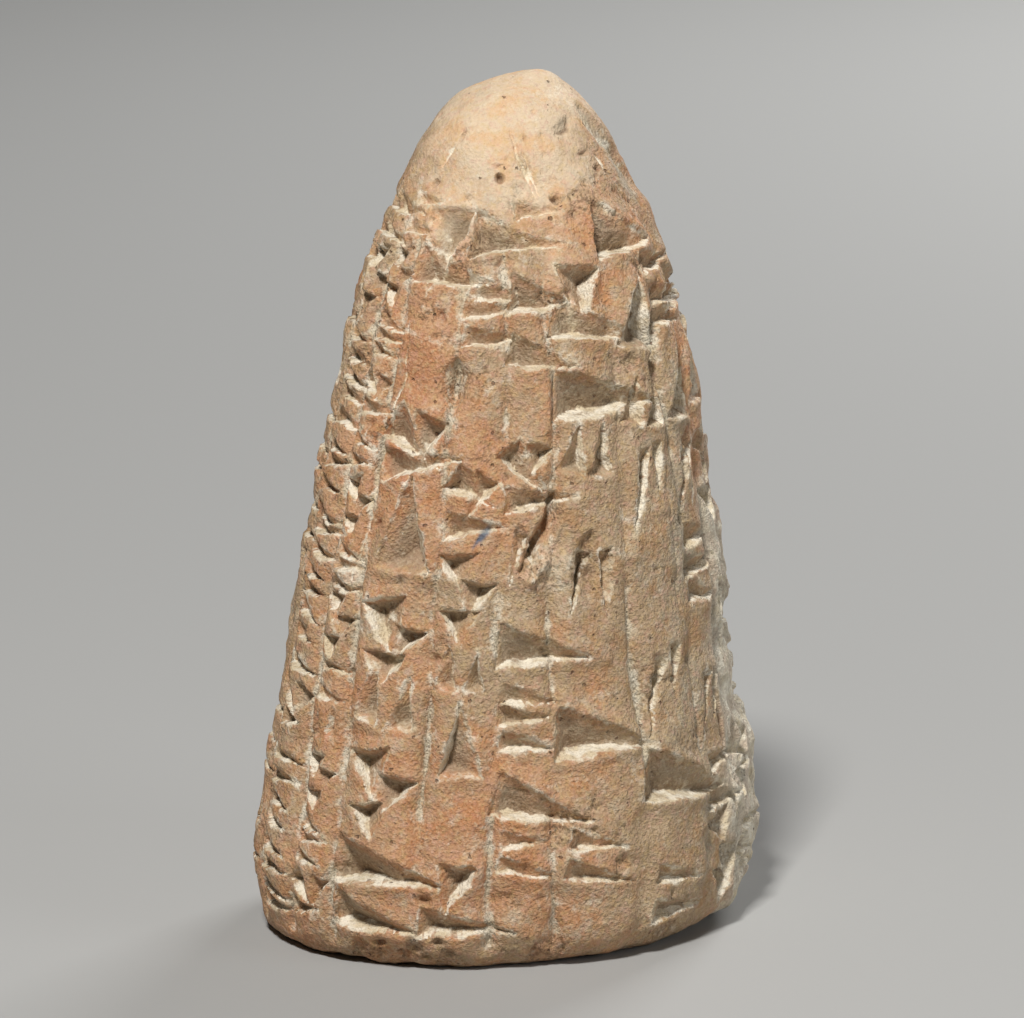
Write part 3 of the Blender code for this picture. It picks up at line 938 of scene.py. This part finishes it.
def crust_and_highlight_group():
    """Pale powder in grooves, and pale wear, powder and painted highlight on stroke rims and
    ledges, broken up by noise.
    """
    group, given, out = new_group(
        "pale_crust_and_highlight", {"Place": "vector", "Groove": "value", "Ledge": "value", "Rim": "value"},
        {"Mask": "value"})
    place = given["Place"]
    clumps = mottle(group, place, 1.7, 41.1, 4.0, 0.65)
    powder = mottle(group, place, 0.35, 47.3, 3.0, 0.65)
    # Painted highlight, with powder and wear, along stroke rims and on the upward lower walls of
    # strokes
    edges = plus(group, times(group, given["Ledge"], 0.70), times(group, given["Rim"], 0.40))
    amount = math_node(group, "MAXIMUM", given["Groove"], edges)
    amount = plus(group, amount, ramp(group, clumps, 0.32, 0.68, -0.42, 0.30))
    amount = plus(group, amount, ramp(group, powder, 0.3, 0.7, -0.12, 0.12))
    flecks = ramp(group, mottle(group, place, 0.9, 53.9, 4.0, 0.7), 0.66, 0.74, 0.0, 0.55)
    mask = math_node(group, "MAXIMUM", ramp(group, amount, 0.10, 0.74), flecks)
    group.links.new(mask, out["Mask"])
    return group


GRAIN_DEPTH = 0.23     # of the bump that the sand gives, in mm


def fired_clay():
    """The one finish: skin, floors of strokes with painted shade, stains and painted shade, powder
    with painted highlight, and sand, one laid over another.
    """
    material = bpy.data.materials.new("fired_clay")
    material.use_nodes = True
    tree = material.node_tree
    shader = tree.nodes["Principled BSDF"]
    corner = tree.nodes.new("ShaderNodeTexCoord").outputs["Object"]
    place = add_node(tree, "Mapping", {"Vector": corner, "Scale": (1 / MM,) * 3}).outputs[0]

    def record(name):
        return add_node(tree, "Attribute", {}, attribute_name=name).outputs["Fac"]

    def use(group, **inputs):
        node = tree.nodes.new("ShaderNodeGroup")
        node.node_tree = group
        tree.links.new(place, node.inputs["Place"])
        for name, socket in inputs.items():
            tree.links.new(socket, node.inputs[name])
        return node.outputs

    cream = record("cream")
    pit = record("pit")
    skin = use(fired_skin_group(), Warm=record("warm"), Cream=cream, Grey=record("grey"))["Color"]
    sand = use(sand_group())
    # The crust mask holds groove powder and the painted highlight on stroke rims and ledges
    crust = use(crust_and_highlight_group(), Groove=record("crust"), Ledge=record("wall"), Rim=record("rim"))
    crust = crust["Mask"]

    # Powder of two tones, greyer where it is gritty; on rims and ledges it is also a painted
    # highlight
    clumps = ramp(tree, mottle(tree, place, 1.3, 61.7, 4.0), 0.4, 0.62)
    powder = blend(tree, clumps, paint(246, 238, 218), paint(218, 202, 170))
    powder = blend(tree, times(tree, record("grit"), 0.55), powder, paint(186, 178, 158))

    # Where the sand shows: in crumbled spots, with painted shade in its low points, in gritty
    # grooves, and less on the smooth cream skin
    shaded_grit_hollows = times(tree, record("rough"), ramp(tree, sand["Height"], 0.55, 0.35, 0.0, 0.65))
    bleached = times(tree, record("bleached"), ramp(tree, crust, 0.0, 0.6, 0.75, 1.0))
    grains = times(tree, record("grit"), ramp(tree, sand["Tone"], 0.1, -0.6, 0.0, 0.60))
    lighter = ramp(tree, sand["Tone"], 0.0, 1.0, 0.0, 0.20)
    coarse = ramp(tree, cream, 0.2, 0.9, 1.0, 0.35)
    darker = times(tree, ramp(tree, sand["Tone"], 0.0, -1.0, 0.0, 0.30), coarse)

    # From the floors of the strokes, greyer and partly painted shade, up to the fleck that lies on
    # top
    colour = skin
    for share, over in (
        (times(tree, ramp(tree, pit, 0.10, 0.9), 0.72), paint(153, 138, 116)),
        # Painted shade: the deepest creases of the strokes darkened by their depth
        (times(tree, ramp(tree, pit, 0.8, 1.9), 0.45), paint(104, 80, 56)),
        # Painted shade in the sand's low points within crumbled spots
        (shaded_grit_hollows, paint(104, 88, 66)),
        (times(tree, record("broken"), 0.6), paint(186, 170, 146)),
        (bleached, paint(206, 198, 180)),
        (times(tree, crust, 0.90), powder),
        (grains, paint(122, 110, 90)),
        # Stains, and painted shade in holes and creases and under the grey pebble
        (times(tree, record("stain"), 0.55), paint(92, 62, 40)),
        # Painted shade in the sand's tiny holes
        (times(tree, sand["Holes"], 0.6), paint(112, 72, 48)),
        (lighter, paint(236, 216, 186)),
        (darker, paint(110, 80, 54)),
        (times(tree, record("fleck"), 0.90), paint(48, 92, 122)),
    ):
        colour = blend(tree, share, colour, over)
    tree.links.new(colour, shader.inputs["Base Color"])
    roughness = ramp(tree, sand["Height"], 0.2, 0.8, 0.92, 0.74)
    tree.links.new(roughness, shader.inputs["Roughness"])
    grain = times(tree, sand["Height"], ramp(tree, cream, 0.2, 0.9, 1.0, 0.55))
    bump = add_node(tree, "Bump", {"Strength": 1.0, "Distance": GRAIN_DEPTH * MM, "Height": grain})
    tree.links.new(bump.outputs[0], shader.inputs["Normal"])
    return material


def main():
    cone = model_cone()
    cone.data.materials.clear()
    cone.data.materials.append(fired_clay())
    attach(cone, "root")
    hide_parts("cone")


FLOOR_HALF_SIZE = 4.0
FLOOR_GAP = 0.0001     # keeps the floor clear of the resting face
FLOOR_GREY = (0.40, 0.40, 0.39, 1)
ROOM_COLOUR = (0.80, 0.82, 0.85, 1)
ROOM_STRENGTH = 0.030


def studio():
    """Pale floor, soft light, and the camera where the photograph was taken from."""
    scene = bpy.context.scene
    scene.view_settings.view_transform = "Standard"
    bm = bmesh.new()
    bmesh.ops.create_grid(bm, x_segments=1, y_segments=1, size=FLOOR_HALF_SIZE)
    mesh = bpy.data.meshes.new("floor")
    bm.to_mesh(mesh)
    bm.free()
    floor = bpy.data.objects.new("floor", mesh)
    floor.location.z = cone_low.z - FLOOR_GAP
    scene.collection.objects.link(floor)
    paper = bpy.data.materials.new("pale_paper")
    paper.use_nodes = True
    finish = paper.node_tree.nodes["Principled BSDF"].inputs
    finish["Base Color"].default_value = FLOOR_GREY
    finish["Roughness"].default_value = 0.9
    mesh.materials.append(paper)

    world = bpy.data.worlds.new("soft_room")
    world.use_nodes = True
    glow = world.node_tree.nodes["Background"].inputs
    glow["Color"].default_value = ROOM_COLOUR
    glow["Strength"].default_value = ROOM_STRENGTH
    scene.world = world

    middle = Vector((0, 0, (cone_low.z + cone_high.z) / 2))

    def soft_box(name, offset, size, energy, color=(1, 1, 1)):
        """A square light at an offset in metres from the cone's middle, turned towards it."""
        light = bpy.data.lights.new(name, "AREA")
        light.size = size
        light.energy = energy
        light.color = color
        box = bpy.data.objects.new(name, light)
        box.location = middle + Vector(offset)
        box.rotation_euler = (-Vector(offset)).to_track_quat("-Z", "Y").to_euler()
        scene.collection.objects.link(box)

    soft_box("key_light", (-0.09, -0.34, 0.46), 0.08, 3.50, (1.0, 0.98, 0.955))
    soft_box("fill_light", (0.50, -0.26, 0.18), 0.26, 0.60, (0.97, 0.98, 1.0))
    soft_box("rim_light", (0.24, 0.46, 0.25), 0.20, 1.9)

    camera_data = bpy.data.cameras.new("camera")
    camera_data.sensor_width = SENSOR_WIDTH
    view_width = PHOTO_WIDTH_PX / PX_PER_MM * MM
    camera_data.lens = SENSOR_WIDTH * CAMERA_DISTANCE / view_width
    camera = bpy.data.objects.new("camera", camera_data)
    away = Vector((0, -math.cos(CAMERA_RISE), math.sin(CAMERA_RISE)))
    upward = Vector((0, math.sin(CAMERA_RISE), math.cos(CAMERA_RISE)))
    aside = (PHOTO_WIDTH_PX / 2 - AXIS_PX[0]) / PX_PER_MM * MM
    lower = (AXIS_PX[1] - PHOTO_HEIGHT_PX / 2) / PX_PER_MM * MM
    camera.location = middle + away * CAMERA_DISTANCE + Vector((aside, 0, 0)) + upward * lower
    camera.rotation_euler = (math.pi / 2 - CAMERA_RISE, 0, 0)
    scene.collection.objects.link(camera)
    scene.camera = camera


main()
studio()
